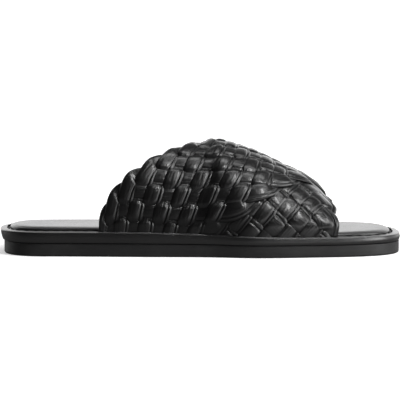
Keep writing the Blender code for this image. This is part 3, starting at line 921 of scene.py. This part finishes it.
def makeMidsole():
    inSlot = slotShare()
    top, low, height = sole["topRadius"], sole["lowRadius"], midsoleThickness
    slotWidth = plait["thickness"] + 2 * plait["slotClearance"]
    width = sole["grooveWidth"] + (slotWidth - sole["grooveWidth"]) * inSlot
    deep = sole["grooveDepth"] + (plait["slotDepth"] - sole["grooveDepth"]) * inSlot
    inner = shoe["rimWidth"] - shoe["seatGap"]
    rings = [ringAt(low * left, low * risen - height, 1.0) for left, risen in quarterTurn(sole["lowSteps"])]
    wall = height - low - sole["beadDepth"]
    for t in np.linspace(0, 1, sole["wallSteps"] + 1)[1:]:
        bulge = -sole["sideBulge"] * math.sin(math.pi * t)
        rings.append(ringAt(bulge, low - height + wall * t, 1 - t * (1 - sole["wallLean"])))
    for rise, inset, lean in sole["bead"]:
        rings.append(ringAt(inset, rise - sole["beadDepth"], lean))
    for below, inwards in quarterTurn(sole["topSteps"], 1):
        rings.append(ringAt(top * inwards, -top * below))
    for t in sole["rimStops"]:
        rings.append(ringAt(top + (inner - width - top) * t, sole["rimRise"] * t))
    rings.append(ringAt(inner - width - sole["lipRadius"], sole["rimRise"] * sole["rimStops"][-1]))
    for across, down, further in sole["groove"]:
        rings.append(ringAt(inner - width * across, -deep * down - further))
    rings.append(ringAt(inner, -np.maximum(sole["seatDepth"], deep) - sole["seatFall"]))
    return loft("wrappedMidsole", rings, "rimLeather")


def makeOutsole():
    toTip = ease((shareAt(outlinePoints[:, 0]) - sole["toeInsetStart"]) / sole["toeInsetLength"])
    inset = sole["outsoleInset"] + (sole["toeInset"] - sole["outsoleInset"]) * toTip
    edge = sole["outsoleEdge"]
    foot = -rimHeight(outlinePoints[:, 0])
    wall = -midsoleThickness - shoe["seatGap"] - foot - edge
    depth, place, spread = sole["line"]
    rings = [ringAt(inset + edge + sole["underInset"], foot, 1.0)]
    for left, risen in quarterTurn(sole["lowSteps"]):
        rings.append(ringAt(inset + edge * left, foot + edge * risen, 1.0))
    for t in np.linspace(0, 1, sole["outsoleSteps"] + 1)[1:]:
        line = depth * math.exp(-((t - place) / spread) ** 2)
        rings.append(ringAt(inset + line, foot + edge + wall * t, 1.0))
    return loft("rubberOutsole", rings, "outsoleRubber")


insole = {
    "foot": 0.0015,      # height of the edge above the rim before it rounds over
    "padding": 0.0028,   # height of the middle
    "roll": 0.0065,      # how far in the cushion reaches its height
    "rollPower": 2.2,
    "recess": 0.0007,
    "edgeInset": 0.0003,
    # its side, inwards and up in heights of the foot, and the first steps of its roll in metres
    "side": ((0.0, 0.0), (0.0, 0.6), (0.1, 0.85)),
    "rollStops": (0.0002, 0.0005, 0.0010, 0.0017, 0.0026),
    "wideSteps": 56,
    # faint unevenness of the foam: its height, and its waves' turn for each metre along and across, and shift
    "dip": 0.0001,
    "waves": ((41, 0, 1.3), (0, 53, 0.4 + math.pi / 2), (87, 61, 0.0)),
    "thirdWave": 0.6,
}


def cushion(distance):
    # height of the insole above the rim at a distance from its edge
    left = 1 - np.clip(distance / insole["roll"], 0, 1)
    return insole["foot"] + (insole["padding"] - insole["foot"]) * (1 - left ** insole["rollPower"])


def ringDistance(points, ring):
    along = np.roll(ring, -1, axis=0) - ring
    best = np.full(len(points), 1e9)
    for start, step in zip(ring, along, strict=True):
        t = np.clip(((points - start) @ step) / max(step @ step, 1e-12), 0, 1)
        best = np.minimum(best, np.linalg.norm(points - start - t[:, None] * step, axis=1))
    return best


def makeInsole():
    foot = insole["foot"]
    sides = [(0.0, shoe["seatGap"] - insole["recess"])]
    sides += [(inwards * foot, up * foot) for inwards, up in insole["side"]]
    sides += [(inset, float(cushion(inset))) for inset in insole["rollStops"]]
    rings = [ringAt(shoe["rimWidth"] + insole["edgeInset"] + inset, rise) for inset, rise in sides]
    count, steps = len(outlinePoints), shoe["steps"]
    edgeRing = rings[-1]
    wide = (1 - np.cos(np.linspace(0, math.pi, insole["wideSteps"] + 1))) / 2
    topPoints = []
    for k in range(1, steps):
        near, far = edgeRing[k], edgeRing[count - k]
        for t in wide[1:-1]:
            topPoints.append(near + (far - near) * t)
    topPoints = np.array(topPoints)
    distance = ringDistance(topPoints[:, :2], edgeRing[:, :2]) + sides[-1][0]
    x, y = topPoints[:, 0], topPoints[:, 1]
    first, second, third = (np.sin(x * a + y * b + shift) for a, b, shift in insole["waves"])
    dip = insole["dip"] * (first * second + insole["thirdWave"] * third)
    softness = np.clip(distance / insole["roll"], 0, 1) ** 2
    topPoints[:, 2] = rimHeight(x) + cushion(distance) + dip * softness
    faces = loftFaces(len(rings), count, capLast=False)
    base = (len(rings) - 1) * count
    inside = insole["wideSteps"] - 1

    def at(k, j):
        # the point's number at step k along and step j across
        if k in (0, steps) or j == 0:
            return base + k
        if j == insole["wideSteps"]:
            return base + count - k
        return base + count + (k - 1) * inside + j - 1

    for k in range(steps):
        for j in range(insole["wideSteps"]):
            corners = list(dict.fromkeys([at(k, j), at(k + 1, j), at(k + 1, j + 1), at(k, j + 1)]))
            if len(corners) > 2:
                faces.append(corners)
    points = np.vstack([*rings, topPoints])
    return meshObject("paddedInsole", points, faces, "insoleLeather", math.radians(60))


stitch = {
    "pitch": 0.0063,
    "length": 0.0048,
    "width": 0.0010,
    "height": 0.0011,
    "rise": 0.00045,
    "clear": 0.006,       # how far the row stays from the straps
}


def stitchTree():
    # one rounded stitch on each point of a path, turned along it
    tree, given, result = newGroup(
        "insoleStitches", "GeometryNodeTree",
        [("Geometry", "Geometry", None), ("Pitch", "Float", stitch["pitch"]),
         ("Stitch Length", "Float", stitch["length"]), ("Stitch Width", "Float", stitch["width"]),
         ("Stitch Height", "Float", stitch["height"]), ("Material", "Material", None)],
        [("Geometry", "Geometry")])
    path = addNode(tree, "GeometryNodeMeshToCurve", {"Mesh": given["Geometry"]})
    spaced = addNode(tree, "GeometryNodeCurveToPoints", {"Curve": path, "Length": given["Pitch"]},
                     mode="LENGTH")
    bead = addNode(tree, "GeometryNodeMeshUVSphere", {"Segments": 10, "Rings": 8, "Radius": 0.5})
    size = joinVector(tree, given["Stitch Length"], given["Stitch Width"], given["Stitch Height"])
    turned = addNode(tree, "FunctionNodeAlignRotationToVector", {"Vector": spaced.node.outputs["Tangent"]},
                     axis="X", pivot_axis="Z")
    placed = addNode(tree, "GeometryNodeInstanceOnPoints", {
        "Points": spaced, "Instance": bead, "Rotation": turned, "Scale": size})
    finishTree(tree, placed, given["Material"], result)
    return tree


def makeStitches():
    ring = ringAt(shoe["rimWidth"] - shoe["seatGap"] - sole["grooveWidth"], stitch["rise"])
    share = shareAt(ring[:, 0])
    clear = stitch["clear"] / shoe["length"]
    runs = []
    for shown, shift in ((share < entryFirst - clear, shoe["steps"]), (share > entryLast + clear, 0)):
        order = np.roll(np.arange(len(ring)), shift)
        runs.append(ring[[k for k in order if shown[k]]])
    made = lineObject("insoleStitches", runs)
    applyTree(made, stitchTree(), {"Material": materials["stitchThread"]})
    print("stitches:", len(made.data.polygons), "faces")
    return made


midsole = makeMidsole()
outsole = makeOutsole()
insolePad = makeInsole()
stitches = makeStitches()
print("sole made")

# what rides, what stands for what
for piece in (*upperPieces, *linings, midsole, outsole, insolePad, stitches):
    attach(piece, "root")
for piece in upperPieces:
    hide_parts("upper")
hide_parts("midsole")
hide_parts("outsole")
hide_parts("insole")

# studio
studio = {
    "elevation": 5.6,
    "azimuth": 1.0,
    "distance": 2.0,
    "sensor": 36.0,
    "mmPerPixel": 0.648,
    "imageWidth": 400,
    "lowestPixel": 257.4,    # image row of the sole's lowest edge
    "lowestShare": 0.65,     # where that edge is along the sole
    "paper": 0.95,
    "paperBounce": 0.22,     # how much of its light the paper sends back to the shoe
    "toeGlow": 1.8,          # light from the paper in front of the toe, which only the shoe sees
    "toeRange": (0.0, 0.15),
    "frontRange": (-0.06, -0.13),
    "paperGlow": 0.85,       # keeps the far paper white in the picture
    # painted shade: near the shoe the paper glows less to the camera, so a band along the shoe reads darker;
    # partly painted, partly the real shadow left showing
    "nearPaintedShadeGlow": 0.47,
    "farRange": (0.05, 0.30),
    "frontLevel": 0.03,
    "wallLevel": 1.9,        # behind the shoe and low
    "rearLevel": 0.15,       # behind the shoe and high
    "rearRange": (0.1, 0.7),
    "highRange": (0.2, 0.6),
    "floorHalf": 6.0,
    # name, place, what it points at, size, power
    "lights": (
        ("overheadSoftbox", (0.20, -0.05, 1.10), (0.0, 0.0, 0.03), (0.14, 0.90), 3.3),
        ("toeSoftbox", (1.10, -0.45, 0.40), (0.06, 0.0, 0.03), (0.70, 0.70), 9.5),
        ("frontStrip", (0.48, -0.70, 0.92), (0.02, 0.0, 0.04), (0.10, 0.50), 6.5),
    ),
}


def makeCamera():
    e, a = math.radians(studio["elevation"]), math.radians(studio["azimuth"])
    back = Vector((-math.sin(a) * math.cos(e), -math.cos(a) * math.cos(e), math.sin(e)))
    data = bpy.data.cameras.new("camera")
    camera = sceneObject("camera", data)
    seen = studio["mmPerPixel"] * studio["imageWidth"] / 1000
    data.sensor_width = studio["sensor"]
    data.lens = studio["sensor"] * studio["distance"] / seen
    # the near edge of the ball sits this far below the middle of the picture
    drop = (studio["lowestPixel"] - studio["imageWidth"] / 2) * studio["mmPerPixel"] / 1000
    share = studio["lowestShare"]
    near = Vector((xAt(share), middle - halfWidth(share, 1), 0))
    up = Vector((0, 0, 1)) - back * back.z
    up.normalize()
    camera.location = up * (drop + near.dot(up)) + back * studio["distance"]
    camera.rotation_euler = (-back).to_track_quat("-Z", "Y").to_euler()
    data.clip_start, data.clip_end = 0.05, 50
    bpy.context.scene.camera = camera


def areaLight(name, place, target, size, power):
    data = bpy.data.lights.new(name, "AREA")
    data.shape = "RECTANGLE"
    data.size, data.size_y = size
    data.energy = power
    made = sceneObject(name, data)
    made.location = place
    made.rotation_euler = (Vector(target) - Vector(place)).to_track_quat("-Z", "Y").to_euler()


def makePaper():
    mesh = bpy.data.meshes.new("studioFloor")
    half = studio["floorHalf"]
    mesh.from_pydata([(-half, -half, 0), (half, -half, 0), (half, half, 0), (-half, half, 0)], [],
                     [(0, 1, 2, 3)])
    paper = bpy.data.materials.new("whitePaper")
    paper.use_nodes = True
    tree = paper.node_tree
    seen = addNode(tree, "ShaderNodeLightPath", output="Is Camera Ray")
    place = splitVector(tree, addNode(tree, "ShaderNodeTexCoord", output="Object"))
    level = mapRange(tree, seen, 0.0, 1.0, studio["paperBounce"], studio["paper"])
    toeSide = mapRange(tree, place["X"], *studio["toeRange"], 0.0, studio["toeGlow"])
    toeLight = mathNode(tree, "MULTIPLY", toeSide, mapRange(tree, place["Y"], *studio["frontRange"]))
    # painted shade: the paper's glow to the camera drops in a band along the shoe, partly painted shade and
    # partly the real shadow that the lower glow lets show
    farOff = mathNode(tree, "ABSOLUTE", place["Y"])
    shown = mapRange(tree, farOff, *studio["farRange"], studio["nearPaintedShadeGlow"], studio["paperGlow"])
    feed(tree, tree.nodes["Principled BSDF"], {
        "Base Color": level, "Emission Color": (1, 1, 1, 1),
        "Emission Strength": mapRange(tree, seen, 0.0, 1.0, toeLight, shown),
        "Roughness": 0.9, "Specular IOR Level": 0.1})
    mesh.materials.append(paper)
    sceneObject("studioFloor", mesh)


def makeWorld():
    # dark in front of the shoe and above it, bright low down behind it, and white to the camera
    world = bpy.data.worlds.new("studioWorld")
    world.use_nodes = True
    bpy.context.scene.world = world
    tree = world.node_tree
    way = splitVector(tree, addNode(tree, "ShaderNodeTexCoord", output="Generated"))
    level = mapRange(tree, way["Z"], *studio["highRange"], studio["wallLevel"], studio["rearLevel"])
    rear = mathNode(tree, "MULTIPLY", mapRange(tree, way["Y"], *studio["rearRange"]), level)
    seen = addNode(tree, "ShaderNodeLightPath", output="Is Camera Ray")
    feed(tree, tree.nodes["Background"], {
        "Color": (1, 1, 1, 1),
        "Strength": mathNode(tree, "MAXIMUM", mathNode(tree, "ADD", rear, studio["frontLevel"]), seen)})


makeCamera()
makePaper()
makeWorld()
for light in studio["lights"]:
    areaLight(*light)
bpy.context.scene.view_settings.view_transform = "Standard"
bpy.context.scene.view_settings.look = "None"
print("studio made")
